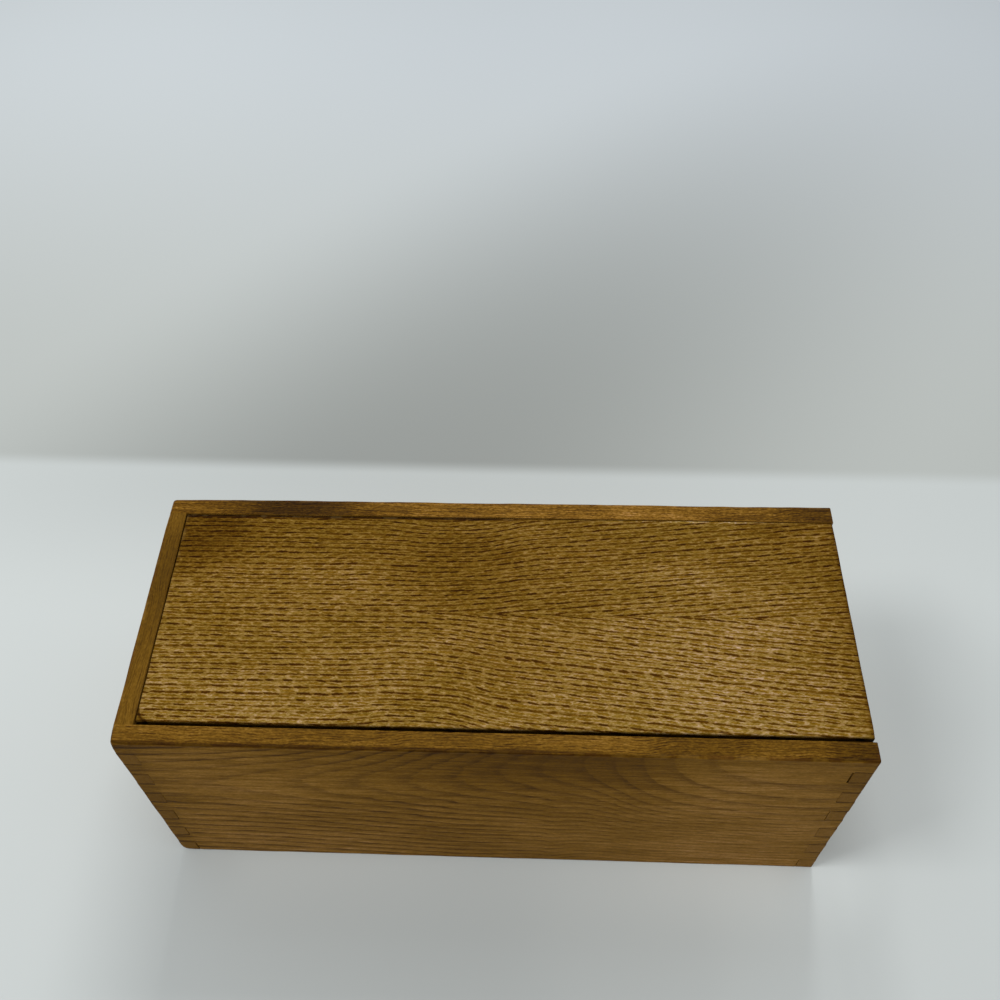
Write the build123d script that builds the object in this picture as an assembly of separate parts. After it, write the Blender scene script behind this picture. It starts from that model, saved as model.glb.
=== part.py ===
"""Finger-jointed wooden box whose lid slides out over its low end.

Four walls interlock at the corners, a thin panel is held in grooves as the bottom, and a lid
with a raised field runs on tongues in grooves near the rim. Millimetres, +Z up, the origin at
the middle of the base, +X the way the lid slides out, -Y the front.
"""

import os

from build123d import *

# Outside of the box
box_length = 287.0
box_width = 117.0
box_height = 114.0
arris_radius = 0.8

# Walls: the front and back are the sides, the other two are the ends
side_thickness = 8.0
end_thickness = 7.5

# Finger joints: the slack is the glue room round a finger, the gap is at the foot of its socket
finger_height_wanted = 9.5
finger_slack = 0.12
finger_gap = 0.4

# Lid: the field fills the opening, and its tongues run in the grooves
lid_thickness = 9.2
lid_edge_radius = 0.4
tongue_thickness = 4.2
groove_depth = 4.0
tongue_headroom = 0.3
lid_side_play = 2.2
lid_rest_gap = 0.3
lid_home_gap = 0.6
lid_end_inset = 0.5
low_end_clearance = 0.2

# Bottom panel: held in a groove in all four walls, with room to swell
bottom_raise = 6.0
bottom_thickness = 4.0
bottom_groove_depth = 4.0
bottom_swell_gap = 0.5
bottom_headroom = 0.1

# Every cut runs this far past the face that it opens
overrun = 5.0

# Places that follow from the sizes above
finger_rows = 2 * max(1, round(box_height / (2 * finger_height_wanted)))
finger_height = box_height / finger_rows
side_inner_y = box_width / 2 - side_thickness
end_inner_x = box_length / 2 - end_thickness
groove_floor_z = box_height - finger_height
groove_height = tongue_thickness + tongue_headroom


def row_heights(first_row):
    """Middle heights of every second finger row, counted down from the rim."""
    rows = range(first_row, finger_rows, 2)
    return [box_height - (row + 0.5) * finger_height for row in rows]


def sanded_envelope():
    """The outside of the closed box with all of its edges rounded by sanding."""
    block = Box(box_length, box_width, box_height, align=(Align.CENTER, Align.CENTER, Align.MIN))
    return fillet(block.edges(), arris_radius)


def lid_channel():
    """The space that the grooves leave for the tongues: closed at the tall end, open at the other."""
    length = end_inner_x + groove_depth + box_length / 2 + overrun
    width = 2 * (side_inner_y + groove_depth)
    channel = Box(length, width, groove_height, align=(Align.MIN, Align.CENTER, Align.MIN))
    return Pos(-end_inner_x - groove_depth, 0, groove_floor_z) * channel


def bottom_groove():
    """The space that the four walls leave for the edges of the bottom panel."""
    length = 2 * (end_inner_x + bottom_groove_depth)
    width = 2 * (side_inner_y + bottom_groove_depth)
    height = bottom_thickness + bottom_headroom
    return Pos(0, 0, bottom_raise) * Box(
        length, width, height, align=(Align.CENTER, Align.CENTER, Align.MIN)
    )


def side_wall(facing):
    """Front (facing -1) or back (facing +1): fingers in the odd rows, the rim's row among them."""
    socket_depth = end_thickness + finger_gap
    sockets = [
        Pos(side * (box_length / 2 - socket_depth / 2), z) * Rectangle(socket_depth, finger_height)
        for side in (-1, 1)
        for z in row_heights(1)
    ]
    outline = Pos(0, box_height / 2) * Rectangle(box_length, box_height) - sockets
    board = extrude(Plane.XZ * outline, side_thickness / 2, both=True)
    board = Pos(0, facing * (side_inner_y + side_thickness / 2), 0) * board
    return board & sanded_envelope() - lid_channel() - bottom_groove()


def end_wall(facing):
    """Tall end (facing -1) or low end (facing +1): fingers in the even rows, down to the base."""
    sockets = [
        Pos(side * (box_width / 2 - side_thickness / 2), z)
        * Rectangle(side_thickness, finger_height + finger_slack)
        for side in (-1, 1)
        for z in row_heights(0)
    ]
    outline = Pos(0, box_height / 2) * Rectangle(box_width, box_height) - sockets
    board = extrude(Plane.YZ * outline, end_thickness / 2, both=True)
    board = Pos(facing * (end_inner_x + end_thickness / 2), 0, 0) * board
    return board & sanded_envelope() - bottom_groove()


def tall_end():
    """The end that stops the lid: as high as the sides, with the groove across its inner face."""
    return end_wall(-1) - lid_channel()


def low_end():
    """The end that the lid passes over: cut down to just under the lid."""
    top = groove_floor_z - low_end_clearance
    waste = Box(
        box_length, box_width + overrun, box_height, align=(Align.MIN, Align.CENTER, Align.MIN)
    )
    return end_wall(1) - Pos(0, 0, top) * waste


def bottom_panel():
    """A thin panel that floats in the four grooves."""
    length = 2 * (end_inner_x + bottom_groove_depth - bottom_swell_gap)
    width = 2 * (side_inner_y + bottom_groove_depth - bottom_swell_gap)
    panel = Box(length, width, bottom_thickness, align=(Align.CENTER, Align.CENTER, Align.MIN))
    return Pos(0, 0, bottom_raise) * panel


def sliding_lid():
    """A board rebated on three edges, so that a raised field stands between the rims."""
    field_front = -side_inner_y + lid_side_play - lid_rest_gap
    field_back = side_inner_y - lid_rest_gap
    field_left = -end_inner_x + lid_home_gap
    right = box_length / 2 - lid_end_inset
    tongue_top = groove_floor_z + tongue_thickness
    lid_top = groove_floor_z + lid_thickness
    with BuildPart() as lid:
        with BuildSketch(Plane.YZ):
            with BuildLine():
                Polyline(
                    (field_front - groove_depth, groove_floor_z),
                    (field_front - groove_depth, tongue_top),
                    (field_front, tongue_top),
                    (field_front, lid_top),
                    (field_back, lid_top),
                    (field_back, tongue_top),
                    (field_back + groove_depth, tongue_top),
                    (field_back + groove_depth, groove_floor_z),
                    close=True,
                )
            make_face()
        extrude(amount=right - field_left + groove_depth)
    board = Pos(field_left - groove_depth, 0, 0) * lid.part
    rebate = Box(
        groove_depth + overrun,
        box_width,
        lid_thickness - tongue_thickness + overrun,
        align=(Align.MAX, Align.CENTER, Align.MIN),
    )
    board -= Pos(field_left, 0, tongue_top) * rebate
    return fillet(board.faces().sort_by(Axis.Z)[-1].edges(), lid_edge_radius)


pieces = {
    "front_wall": side_wall(-1),
    "back_wall": side_wall(1),
    "tall_end_wall": tall_end(),
    "low_end_wall": low_end(),
    "bottom_panel": bottom_panel(),
    "sliding_lid": sliding_lid(),
}

os.makedirs("parts", exist_ok=True)
for name, piece in pieces.items():
    export_step(piece, f"parts/{name}.step")
    print(name, "solids", len(piece.solids()), "volume", round(piece.volume))
print("finger rows", finger_rows, "finger height", finger_height)
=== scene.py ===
# %% [markdown]
# # A finger-jointed box with a sliding lid
# The construction comes in as a fixed frame: four walls, a bottom panel and a lid, in metres, with
# the origin under the middle of the box, +X the way the lid slides out and -Y the front. This lesson
# gives the boards their wear and their finish, then sets up the floor, the lamps and the camera.

# %% Load the frame
import math
import random

import bmesh
import bpy
from mathutils import Euler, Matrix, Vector


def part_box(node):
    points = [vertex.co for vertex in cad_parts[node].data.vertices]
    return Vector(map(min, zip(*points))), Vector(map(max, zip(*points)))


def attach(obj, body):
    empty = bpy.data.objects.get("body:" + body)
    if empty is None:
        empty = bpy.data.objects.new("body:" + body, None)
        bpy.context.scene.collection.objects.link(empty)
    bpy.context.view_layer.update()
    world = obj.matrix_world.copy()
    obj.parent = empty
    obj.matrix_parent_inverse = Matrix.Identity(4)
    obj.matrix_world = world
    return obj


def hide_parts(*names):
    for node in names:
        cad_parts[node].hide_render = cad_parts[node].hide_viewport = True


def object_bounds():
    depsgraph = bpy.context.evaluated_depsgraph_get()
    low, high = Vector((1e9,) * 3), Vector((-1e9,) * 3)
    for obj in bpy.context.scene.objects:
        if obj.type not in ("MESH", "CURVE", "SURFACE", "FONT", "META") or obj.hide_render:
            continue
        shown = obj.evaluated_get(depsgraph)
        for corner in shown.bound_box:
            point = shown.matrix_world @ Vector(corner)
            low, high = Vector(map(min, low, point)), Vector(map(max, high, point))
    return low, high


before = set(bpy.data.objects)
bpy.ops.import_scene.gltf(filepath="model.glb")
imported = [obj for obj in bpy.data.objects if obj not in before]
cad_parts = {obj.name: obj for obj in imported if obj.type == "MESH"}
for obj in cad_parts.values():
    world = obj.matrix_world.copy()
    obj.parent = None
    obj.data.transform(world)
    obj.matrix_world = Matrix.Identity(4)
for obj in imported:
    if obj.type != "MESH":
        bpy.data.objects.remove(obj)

cad_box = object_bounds()
scene = bpy.context.scene
case_low, case_high = (Vector(corner) for corner in cad_box)
print("case", [round(side, 4) for side in case_high - case_low])

# %% [markdown]
# ## Building node trees from a script
# Materials and Geometry Nodes are both trees of nodes. Wiring them by hand in a script is wordy, so a
# small helper adds a node, sets what is fixed on it and links what comes from another node. Each call
# returns the new node's output, which makes a tree read like a sum.


# %% A helper that writes nodes
class PlainNodes:
    """Adds nodes to a tree. A value is a number, a tuple or the output of another node."""

    def __init__(self, tree):
        self.tree = tree

    def add(self, kind, values=(), out=0, **settings):
        made = self.tree.nodes.new(kind)
        for name, setting in settings.items():
            setattr(made, name, setting)
        for socket, value in dict(values).items():
            self.feed(made.inputs[socket], value)
        return made if out is None else made.outputs[out]

    def feed(self, socket, value):
        if isinstance(value, bpy.types.NodeSocket):
            self.tree.links.new(value, socket)
        else:
            socket.default_value = value

    def math(self, operation, *values):
        return self.add("ShaderNodeMath", enumerate(values), operation=operation)

    def total(self, first, *others):
        for other in others:
            first = self.math("ADD", first, other)
        return first

    def product(self, first, *others):
        for other in others:
            first = self.math("MULTIPLY", first, other)
        return first

    def less(self, first, second):
        return self.math("SUBTRACT", first, second)

    def line(self, value, slope, start):
        return self.math("MULTIPLY_ADD", value, slope, start)

    def vector(self, operation, *values, out=0):
        return self.add("ShaderNodeVectorMath", enumerate(values), out, operation=operation)

    def scale(self, vector, factor):
        return self.add("ShaderNodeVectorMath", {0: vector, "Scale": factor}, operation="SCALE")

    def split(self, vector):
        return self.add("ShaderNodeSeparateXYZ", {0: vector}, None).outputs[:]

    def join(self, x, y, z):
        return self.add("ShaderNodeCombineXYZ", {0: x, 1: y, 2: z})


print("helper for single nodes ready")

# %% [markdown]
# Some groups of nodes come back in every tree: a smooth step, noise about zero, a tint, a line through
# given points. Each could be a node group, but a call is shorter and easier to change.


# %% Calls for groups of nodes
class Nodes(PlainNodes):
    def here(self):
        """The place of the shaded point, in metres."""
        return self.add("ShaderNodeTexCoord", out="Object")

    def oval(self, place, middle, reach):
        """How far a place lies from the middle of a flat oval: 1 on its rim."""
        out = self.vector("DIVIDE", self.vector("SUBTRACT", place, (*middle, 0.0)), (*reach, 1.0))
        return self.vector("LENGTH", self.vector("MULTIPLY", out, (1.0, 1.0, 0.0)), out="Value")

    def squeeze(self, place, share):
        """Places closer together along the grain, so that what is drawn on them is longer."""
        return self.vector("MULTIPLY", place, (share, 1.0, 1.0))

    def ramp(self, value, start, stop, low=0.0, high=1.0):
        """Goes smoothly from low, where value is start, to high, where it is stop."""
        ends = {"Value": value, 1: start, 2: stop, 3: low, 4: high}
        return self.add("ShaderNodeMapRange", ends, interpolation_type="SMOOTHSTEP")

    def noise(self, place, scale, detail=2.0, roughness=0.5):
        values = {"Vector": place, "Scale": scale, "Detail": detail, "Roughness": roughness}
        return self.add("ShaderNodeTexNoise", values)

    def swing(self, place, scale, reach, detail=2.0):
        """Noise about zero that goes as far as reach, or a little less, each way."""
        return self.product(self.less(self.noise(place, scale, detail), 0.5), 2 * reach)

    def mix(self, share, first, second, blend="MIX"):
        values = {0: share, 6: first, 7: second}
        return self.add("ShaderNodeMix", values, 2, data_type="RGBA", blend_type=blend)

    def mix_value(self, share, first, second):
        return self.add("ShaderNodeMix", {0: share, 2: first, 3: second}, data_type="FLOAT")

    def tint(self, colour, value, powers=(1.0, 1.15, 3.0)):
        """A colour under more stain, below 1, or less, above 1. Blue changes most and red least."""
        parts = [self.math("POWER", value, power) for power in powers]
        return self.mix(1.0, colour, self.join(*parts), "MULTIPLY")

    def chances(self, first, second):
        """Three random numbers, the same wherever both given numbers are the same."""
        key = {"Vector": self.join(first, second, 0.0)}
        return self.split(self.add("ShaderNodeTexWhiteNoise", key, "Color"))

    def curve(self, value, points):
        """A line drawn through (where, what) points."""
        wheres, whats = zip(*points)
        low, high = min(whats), max(whats)
        span = wheres[-1] - wheres[0]
        made = self.add("ShaderNodeFloatCurve", out=None)
        self.feed(made.inputs["Value"], self.math("DIVIDE", self.less(value, wheres[0]), span))
        path = made.mapping.curves[0]
        drawn = [((where - wheres[0]) / span, (what - low) / (high - low)) for where, what in points]
        path.points[0].location, path.points[-1].location = drawn[0], drawn[-1]
        for spot in drawn[1:-1]:
            path.points.new(*spot)
        for point in path.points:
            point.handle_type = "AUTO_CLAMPED"
        made.mapping.update()
        return self.line(made.outputs[0], high - low, low)


print("helper for groups of nodes ready")

# %% [markdown]
# ## Worn edges
# Every outside edge of the box was sanded round, and years of handling have rubbed it unevenly: here
# it is nearly sharp, there it is a soft round, and a few corners are chipped. A Bevel modifier gives an
# even round, which looks machined. The boards in the frame already have an even round, so a Geometry
# Nodes tree takes each vertex on that round and moves it further from the sharp edge, by an amount that
# noise decides. Vertices on the flat faces slide within their face, so the faces stay flat.

# %% A Geometry Nodes tree that wears the edges
MILLIMETRE = 0.001
ROUND_SLACK = 1.05
CHIPS = ("First", "Second", "Third")


def tree_inputs(tree, sockets):
    for name, kind in sockets.items():
        tree.interface.new_socket(name, in_out="INPUT", socket_type=kind)


def wear_tree():
    tree = bpy.data.node_groups.new("Worn edges", "GeometryNodeTree")
    places = ["Low corner", "High corner", *[chip + " chip" for chip in CHIPS]]
    numbers = ["Sanded radius", "Least wear", "Most wear", "Board"]
    numbers += [chip + size for chip in CHIPS for size in (" reach", " depth")]
    sizes = {**dict.fromkeys(places, "NodeSocketVector"), **dict.fromkeys(numbers, "NodeSocketFloat")}
    tree_inputs(tree, {"Geometry": "NodeSocketGeometry", **sizes, "Finish": "NodeSocketMaterial"})
    tree.interface.new_socket("Geometry", in_out="OUTPUT", socket_type="NodeSocketGeometry")
    n = Nodes(tree)
    given = n.add("NodeGroupInput", out=None).outputs
    place = n.add("GeometryNodeInputPosition")
    from_low = n.vector("SUBTRACT", place, given["Low corner"])
    from_high = n.vector("SUBTRACT", given["High corner"], place)
    depth = n.vector("MINIMUM", from_low, from_high)
    inward = n.vector("SIGN", n.vector("SUBTRACT", from_high, from_low))
    limit = n.product(given["Sanded radius"], ROUND_SLACK)
    near = [n.math("LESS_THAN", n.math("ABSOLUTE", part), limit) for part in n.split(depth)]
    on_edge = n.math("GREATER_THAN", n.total(*near), 1.5)
    shifted = n.vector("ADD", place, n.join(given["Board"], 0.0, 0.0))
    rough = n.noise(shifted, 45.0, 3.0, 0.55)
    wear = n.ramp(rough, 0.34, 0.68, given["Least wear"], given["Most wear"])
    for chip in CHIPS:
        far = n.vector("DISTANCE", place, given[chip + " chip"], out="Value")
        bite = n.ramp(far, given[chip + " reach"], 0.0, 0.0, given[chip + " depth"])
        wear = n.total(wear, bite)
    more = n.product(n.less(wear, 1.0), on_edge)
    move = n.vector("MULTIPLY", n.vector("MULTIPLY", inward, depth), n.join(*near))
    moved = n.add(
        "GeometryNodeSetPosition", {"Geometry": given["Geometry"], "Offset": n.scale(move, more)}
    )
    real = n.add("GeometryNodeRealizeInstances", {0: moved})
    dressed = n.add("GeometryNodeSetMaterial", {"Geometry": real, "Material": given["Finish"]})
    n.feed(n.add("NodeGroupOutput", out=None).inputs[0], dressed)
    return tree


WEAR = wear_tree()
print("wear tree", len(WEAR.nodes), "nodes")

# %% [markdown]
# The tree needs vertices to move. A copy of a board is merged into one skin, its flat triangles are
# joined into whole faces, and the long edges along its rounds are cut into short steps. Cutting also
# splits the flat faces beside a round, so those are joined again.

# %% Copying a board and cutting its edges into steps
STEP = 2.5 * MILLIMETRE
SAME_PLACE = 0.002 * MILLIMETRE
FLAT = math.radians(0.5)


def edge_distances(point, low, high):
    return [min(point[axis] - low[axis], high[axis] - point[axis]) for axis in range(3)]


def on_round(point, low, high, radius):
    return sum(abs(gap) < ROUND_SLACK * radius for gap in edge_distances(point, low, high)) > 1


def along_round(edge, low, high, radius):
    first, second = (vert.co for vert in edge.verts)
    return all(on_round(point, low, high, radius) for point in (first, second, 0.5 * (first + second)))


def within_flat(edge):
    """Whether an edge lies within one flat face that is square to the box."""
    square = all(max(abs(part) for part in face.normal) > 0.99999 for face in edge.link_faces)
    return square and edge.calc_face_angle(math.pi) < FLAT


def board_skin(node, low, high, radius):
    """A copy of a board as one closed skin, with vertices every few millimetres along its rounds."""
    skin = bmesh.new()
    skin.from_mesh(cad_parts[node].data)
    bmesh.ops.remove_doubles(skin, verts=skin.verts, dist=SAME_PLACE)
    bmesh.ops.dissolve_limit(skin, angle_limit=FLAT, verts=skin.verts, edges=skin.edges)
    by_cuts = {}
    for edge in skin.edges:
        cuts = int(edge.calc_length() / STEP)
        if cuts and along_round(edge, low, high, radius):
            by_cuts.setdefault(cuts, []).append(edge)
    for cuts, edges in by_cuts.items():
        bmesh.ops.subdivide_edges(skin, edges=edges, cuts=cuts, use_grid_fill=True)
    skin.normal_update()
    splits = [edge for edge in skin.edges if within_flat(edge)]
    bmesh.ops.dissolve_edges(skin, edges=splits, use_verts=False)
    return skin


print("rounds are cut every", round(STEP / MILLIMETRE, 1), "mm")

# %% [markdown]
# ## Hand-fitted fingers
# In the frame every finger leaves the same small gap at the foot of its socket. On the real box most
# fingers are driven home and the joint hardly shows, while a few stand off and leave a dark line. The
# foot of a socket is one face, so each such face is shifted along the box by its own amount.

# %% Fitting the sockets one by one
side_low, side_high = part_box("front_wall")
end_low, end_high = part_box("tall_end_wall")
side_thickness = side_high.y - side_low.y
end_thickness = end_high.x - end_low.x
FINGER_ROWS = 12
FRAME_GAP = 0.4 * MILLIMETRE
HOME_GAPS = (0.06, 0.2)
finger_height = case_high.z / FINGER_ROWS
fit = random.Random(7)


def fit_sockets(skin, loose):
    """Closes most gaps to a hair. loose gives the gap in millimetres of the (side, row) that stand off."""
    foot = case_high.x - end_thickness - FRAME_GAP
    shifted = 0
    for face in skin.faces:
        middle = face.calc_center_median()
        if abs(face.normal.x) < 0.99 or abs(abs(middle.x) - foot) > 0.1 * FRAME_GAP:
            continue
        side = math.copysign(1, middle.x)
        row = int((case_high.z - middle.z) / finger_height) + 1
        gap = loose.get((side, row), fit.uniform(*HOME_GAPS)) * MILLIMETRE
        for vert in face.verts:
            vert.co.x += side * (FRAME_GAP - gap)
        shifted += 1
    return shifted


print(FINGER_ROWS, "rows of fingers,", round(finger_height / MILLIMETRE, 2), "mm each")

# %% [markdown]
# The tree takes its sizes as inputs: the box whose edges are worn, their round, the wear and the chips.

# %% Inputs for the wear
NO_CHIP = ((0.0, 0.0, 0.0), 1.0, 0.0)


def wear_inputs(low, high, radius, wear, *bites):
    """wear is the least and the most. A bite is a chip's place, its reach in millimetres and its depth."""
    inputs = {"Low corner": low, "High corner": high, "Sanded radius": radius}
    inputs["Least wear"], inputs["Most wear"] = wear
    for chip, (place, reach, depth) in zip(CHIPS, (*bites, *[NO_CHIP] * len(CHIPS))):
        inputs[chip + " chip"] = place
        inputs[chip + " reach"] = reach * MILLIMETRE
        inputs[chip + " depth"] = depth
    return inputs


def set_inputs(modifier, values):
    for item in modifier.node_group.interface.items_tree:
        if item.item_type == "SOCKET" and item.in_out == "INPUT" and item.name in values:
            modifier[item.identifier] = values[item.name]


print("room for", len(CHIPS), "chips on a board")

# %% [markdown]
# A worn copy goes through the tree as a modifier, comes back as a plain mesh, and takes the board's
# place. Smooth shading with weighted normals keeps the big faces flat and the rounds round.

# %% Turning a skin into a worn board
ROUND_ANGLE = math.radians(42)


def plain_mesh(piece):
    """Replaces a piece's mesh by what its modifiers make of it."""
    bpy.context.view_layer.update()
    scene_now = bpy.context.evaluated_depsgraph_get()
    seen = piece.evaluated_get(scene_now)
    made = bpy.data.meshes.new_from_object(seen, preserve_all_data_layers=True, depsgraph=scene_now)
    piece.modifiers.clear()
    piece.data = made


def put(name, data):
    made = bpy.data.objects.new(name, data)
    scene.collection.objects.link(made)
    return made


def worn_board(node, finish, skin, sizes):
    mesh = bpy.data.meshes.new(node + "_worn")
    skin.to_mesh(mesh)
    skin.free()
    piece = put(node + "_worn", mesh)
    worn = piece.modifiers.new("Worn edges", "NODES")
    worn.node_group = WEAR
    set_inputs(worn, {**sizes, "Finish": finish})
    plain_mesh(piece)
    shape = bmesh.new()
    shape.from_mesh(piece.data)
    for face in shape.faces:
        face.smooth = True
    for edge in shape.edges:
        edge.smooth = edge.calc_face_angle(0.0) < ROUND_ANGLE
    shape.to_mesh(piece.data)
    shape.free()
    even = piece.modifiers.new("Even shading", "WEIGHTED_NORMAL")
    even.keep_sharp = True
    plain_mesh(piece)
    print(node, "worn:", len(piece.data.polygons), "faces")
    return piece


print("edges stay sharp from", round(math.degrees(ROUND_ANGLE)), "degrees")

# %% [markdown]
# ## The wood
# The boards are an open-pored, ring-porous wood under a golden brown stain. What the eye reads as grain
# is the growth rings cut by the face of a board. So each board gets a figure: a small node group that
# says, for any place in the board, which ring it lies in and which row of pores. Places are in
# millimetres along the grain, across the face and into the board, so that the figure runs on round
# the edges and over the rims.

# %% Places in a board, in millimetres
AXES = "xyz"


def board_place(n, along, across, depth):
    """The place of a shaded point. Each argument is an axis, a direction and where that axis starts."""
    parts = n.split(n.here())
    turned = []
    for axis, direction, start in (along, across, depth):
        from_start = n.less(parts[AXES.index(axis)], start)
        turned.append(n.product(from_start, direction / MILLIMETRE))
    return n.join(*turned)


def figure_group(name, draw):
    """A node group that turns a place in a board into its ring, its pore row and how bold its ring is."""
    tree = bpy.data.node_groups.new(name, "ShaderNodeTree")
    tree_inputs(tree, {"Place": "NodeSocketVector"})
    for number in ("Ring", "Row", "Boldness"):
        tree.interface.new_socket(number, in_out="OUTPUT", socket_type="NodeSocketFloat")
    n = Nodes(tree)
    drawn = draw(n, n.add("NodeGroupInput", out="Place"))
    outlet = n.add("NodeGroupOutput", out=None)
    for socket, value in zip(outlet.inputs, drawn):
        n.feed(socket, value)
    return tree


def figure_at(n, figure, place):
    return n.add("ShaderNodeGroup", {0: place}, None, node_tree=figure).outputs[:]


print("places are in millimetres along", *AXES)

# %% [markdown]
# The lid is glued up from two boards sawn from one plank and opened like a book, so its figure is
# mirrored about the glue line. At the left the rings run straight, near the middle they draw
# together at a waist, and to the right they climb away from the glue line. Two curves over the length
# give the waist and the climb, which come a little sooner on the front board. Noise over the ring count
# makes some rings wide and some narrow. Every ring holds two rows of pores.

# %% Figure of the lid
LID_RING = 2.55
LID_ROWS = 2.0
GLUE_LINE = 1.2
SECOND_BOARD_RINGS = 80.4
FIRST_BOARD_SHIFT = 8.0
SECOND_BOARD_SHIFT = 10.0
UNEVEN_RINGS = 0.75
LID_WAIST = ((-145, 1.0), (-60, 1.0), (-30, 0.97), (-8, 0.94), (12, 0.965), (35, 1.0), (145, 1.0))
LID_CLIMB = ((-145, 0.0), (-25, 0.0), (-5, 0.6), (20, 3.2), (60, 7.0), (100, 11.0), (145, 15.5))


def lid_rings(n, place):
    along, across, depth = n.split(place)
    second_board = n.math("LESS_THAN", across, GLUE_LINE)
    shift = n.line(second_board, SECOND_BOARD_SHIFT, FIRST_BOARD_SHIFT)
    along = n.total(along, shift)
    from_glue = n.math("ABSOLUTE", n.less(across, GLUE_LINE))
    slow = n.squeeze(place, 0.3)
    swings = n.swing(slow, 0.03, 1.8), n.swing(slow, 0.22, 0.5), n.swing(place, 1.0, 0.22)
    bent = n.total(from_glue, *swings)
    straight = n.math("DIVIDE", bent, n.curve(along, LID_WAIST))
    climbed = n.less(straight, n.curve(along, LID_CLIMB))
    ring = n.math("DIVIDE", n.line(depth, 0.4, climbed), LID_RING)
    ring = n.line(second_board, SECOND_BOARD_RINGS, ring)
    ring = n.total(ring, n.swing(n.join(ring, 0.0, 0.0), 0.2, UNEVEN_RINGS))
    return ring, n.product(ring, LID_ROWS), 1.0


LID_FIGURE = figure_group("Rings of the lid", lid_rings)
print(LID_FIGURE.name, len(LID_FIGURE.nodes), "nodes")

# %% [markdown]
# The front is flat-sawn: its face cuts the rings at a slant, which draws nested flames. At the left they
# are long and pointed, at the right they are round and turn up towards the rim. Curves over the length
# give the height of the flames' middle line, the ring radius on that line, how round the flames' noses
# are and how far apart their sides lie. The last curve gives the ring at each radius: young rings are
# wide and old ones narrow. The noses of the flames are blurred, the lines beside them bold.

# %% Figure of the front wall
FRONT_MIDDLE = ((-145, 78), (-100, 79), (-60, 82), (-20, 90), (20, 102), (60, 112), (145, 115))
FRONT_RADIUS = (
    (-145, 83.5), (-100, 81), (-60, 76.5), (-20, 70), (20, 61.5), (36, 57), (46, 52), (69, 34),
    (105, 9), (125, 2), (145, 0),
)
FRONT_NOSE = ((-145, 9), (-60, 12), (-20, 24), (20, 46), (36, 55), (46, 52), (69, 34), (105, 9), (145, 0))
FRONT_CLOSENESS = ((-145, 0.6), (-60, 0.65), (-20, 0.74), (20, 0.9), (50, 1.0), (145, 1.01))
FRONT_AGES = ((0, 0), (21, 1), (43, 3), (57, 5), (65, 7), (75, 10), (100, 17.4), (160, 35))
PORE_ROW = 1.05


def grain_rows(n, place, slow):
    """Rows of pores along the grain, a little over a millimetre apart, on faces and rims alike."""
    _, across, depth = n.split(place)
    level = n.total(across, depth, n.swing(slow, 0.035, 4.0), n.swing(place, 0.8, 0.2))
    return n.math("DIVIDE", level, PORE_ROW)


def front_rings(n, place):
    along, across, depth = n.split(place)
    nose = n.curve(along, FRONT_NOSE)
    above = n.product(n.less(across, n.curve(along, FRONT_MIDDLE)), n.curve(along, FRONT_CLOSENESS))
    away = n.math("SQRT", n.total(n.math("POWER", nose, 2.0), n.math("POWER", above, 2.0)))
    past_nose = n.line(depth, 1.5, n.less(away, nose))
    radius = n.total(n.curve(along, FRONT_RADIUS), past_nose)
    slow = n.squeeze(place, 0.2)
    bent = n.total(radius, n.swing(slow, 0.035, 1.6), n.swing(slow, 0.3, 0.9, 4.0))
    flame = n.ramp(n.math("ABSOLUTE", above), 3.0, 22.0, 0.4, 1.0)
    low_right = n.product(n.ramp(along, 0.0, 60.0), n.ramp(across, 50.0, 30.0))
    fainter = n.line(low_right, -0.3, 1.0)
    boldness = n.product(flame, fainter, n.ramp(along, -40.0, 60.0, 1.0, 0.62))
    return n.curve(bent, FRONT_AGES), grain_rows(n, place, slow), boldness


FRONT_FIGURE = figure_group("Rings of the front", front_rings)
print(FRONT_FIGURE.name, len(FRONT_FIGURE.nodes), "nodes")

# %% [markdown]
# The other boards share one plain flat-sawn figure, each starting from its own place in the log.

# %% Figure of the other boards
PLAIN_RING = 4.0
PLAIN_SLANT = 0.08
PLAIN_DEPTH = 40.0
PLAIN_MIDDLE = 66.0


def plain_rings(n, place):
    along, across, depth = n.split(place)
    wander = n.swing(n.join(along, 0.0, 0.0), 0.008, 18.0)
    heart = n.line(depth, 2.0, n.line(along, PLAIN_SLANT, PLAIN_DEPTH))
    above = n.less(across, n.total(wander, PLAIN_MIDDLE))
    radius = n.math("SQRT", n.total(n.math("POWER", heart, 2.0), n.math("POWER", above, 2.0)))
    slow = n.squeeze(place, 0.25)
    bent = n.total(radius, n.swing(slow, 0.03, 2.5), n.swing(slow, 0.3, 0.8, 4.0))
    uneven = n.total(bent, n.swing(n.join(bent, 0.0, 0.0), 0.07, 3.0))
    return n.math("DIVIDE", uneven, PLAIN_RING), grain_rows(n, place, slow), 0.62


PLAIN_FIGURE = figure_group("Rings of a plain board", plain_rings)
print(PLAIN_FIGURE.name, len(PLAIN_FIGURE.nodes), "nodes")

# %% [markdown]
# ## The pores
# Each spring the tree lays down rows of wide pores. Stain settles in them, so they show as short dark
# dashes along the grain. A Voronoi texture would scatter spots anywhere. Here every row is cut into
# cells, and White Noise gives each cell one dash with its own length, place and darkness, so that the
# dashes keep to their rows.

# %% A row of dashes
DASH_SHARES = (0.32, 0.62)
DASH_SLANT = 0.4


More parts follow.
